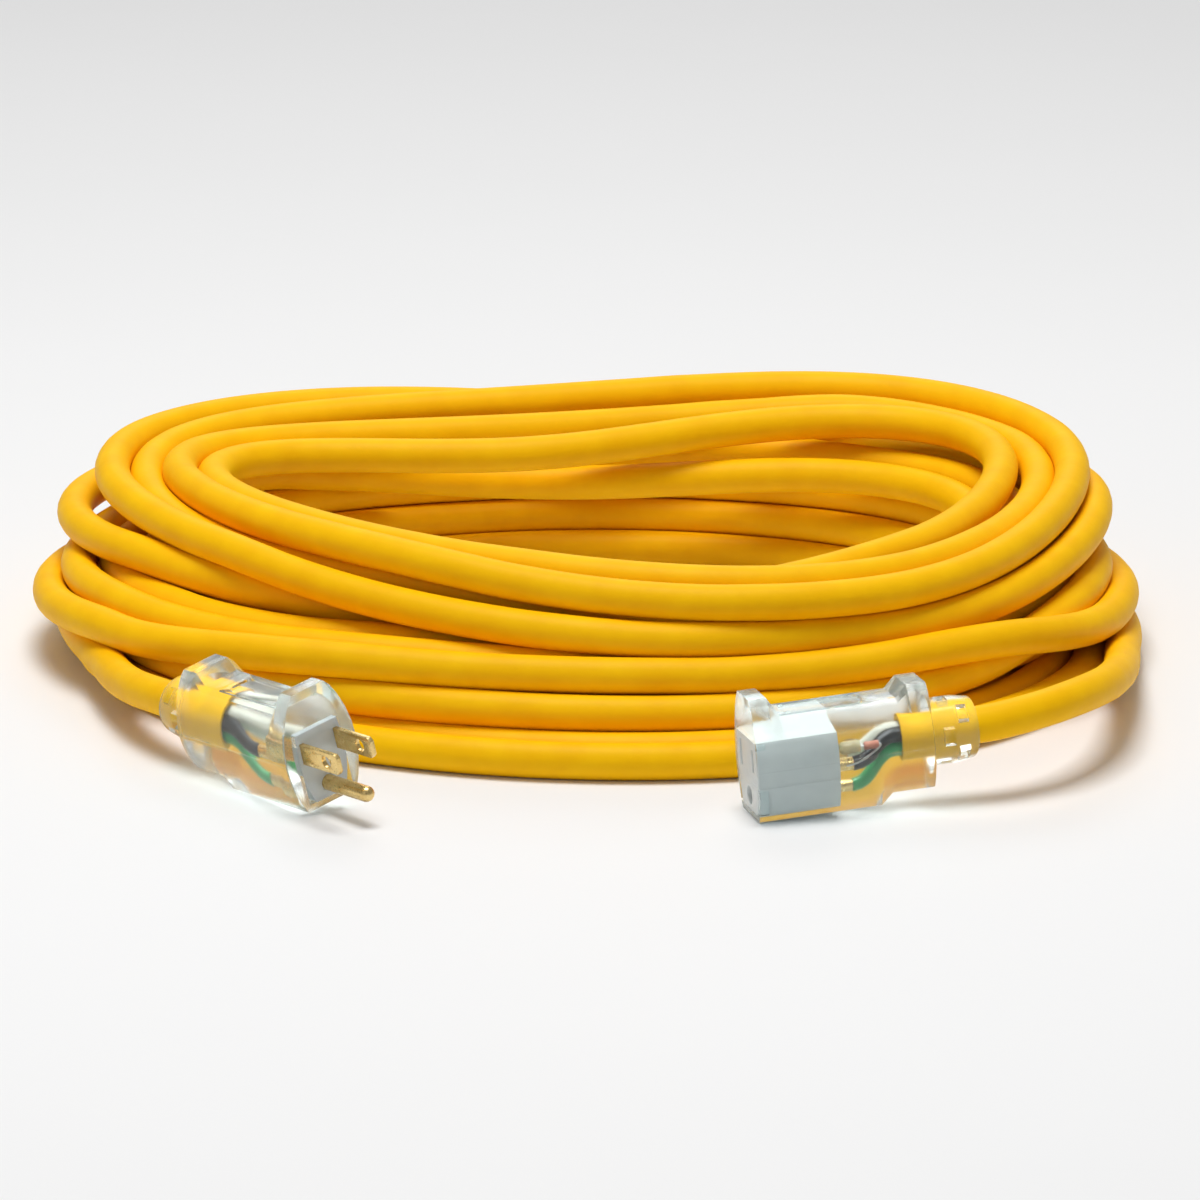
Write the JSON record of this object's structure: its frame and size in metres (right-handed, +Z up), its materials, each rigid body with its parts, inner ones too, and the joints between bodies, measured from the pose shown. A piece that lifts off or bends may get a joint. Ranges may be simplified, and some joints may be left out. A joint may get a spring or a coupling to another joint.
{
  "type": "outdoor extension cord",
  "caption": "Coiled heavy yellow extension cord with a clear grounded plug at one end and a clear lighted grounded connector at the other.",
  "frame": {"origin": "middle of the whole object's box, on the floor under the coil", "axes": "+Z up from the floor the coil lies on; -Y towards the front, where the plug and the connector lie; +X to the connector's side, right as seen from the front"},
  "size_m": [0.35, 0.3522, 0.06],
  "materials": {
    "cord_jacket": "smooth satin vinyl, bright yellow",
    "clear_moulding": "clear polished vinyl moulding",
    "frosted_block": "frosted, slightly translucent",
    "white_block": "smooth moulded, semi matt",
    "contact_metal": "stamped, lightly polished",
    "black_insulation": "extruded, satin",
    "white_insulation": "extruded, satin",
    "green_insulation": "extruded, satin",
    "copper": "bare stranded copper",
    "filler_string": "twisted paper and jute string",
    "lamp_glass": "clear glass, warm tint",
    "resistor_body": "dipped ceramic",
    "tinned_wire": "tinned"
  },
  "bodies": {
    "root": {"cord_coil": "cord_jacket", "cord_plug_lead": "cord_jacket", "cord_connector_lead": "cord_jacket", "plug_housing": "clear_moulding", "plug_strain_relief": "clear_moulding", "plug_blade_holder": "frosted_block", "plug_line_blade": "contact_metal", "plug_neutral_blade": "contact_metal", "plug_ground_pin": "contact_metal", "plug_line_wire": "black_insulation", "plug_neutral_wire": "white_insulation", "plug_ground_wire": "green_insulation", "plug_copper_strands": "copper", "plug_jacket_end": "cord_jacket", "plug_filler_strings": "filler_string", "connector_housing": "clear_moulding", "connector_strain_relief": "clear_moulding", "connector_block_upper": "white_block", "connector_block_lower": "white_block", "connector_line_contact": "contact_metal", "connector_neutral_contact": "contact_metal", "connector_ground_contact": "contact_metal", "connector_line_wire": "black_insulation", "connector_neutral_wire": "white_insulation", "connector_ground_wire": "green_insulation", "connector_copper_strands": "copper", "connector_jacket_end": "cord_jacket", "connector_filler_strings": "filler_string", "connector_lamp_glass": "lamp_glass", "connector_lamp_electrodes": "tinned_wire", "connector_lamp_resistor": "resistor_body", "connector_lamp_wires": "tinned_wire"}
  },
  "joints": []
}
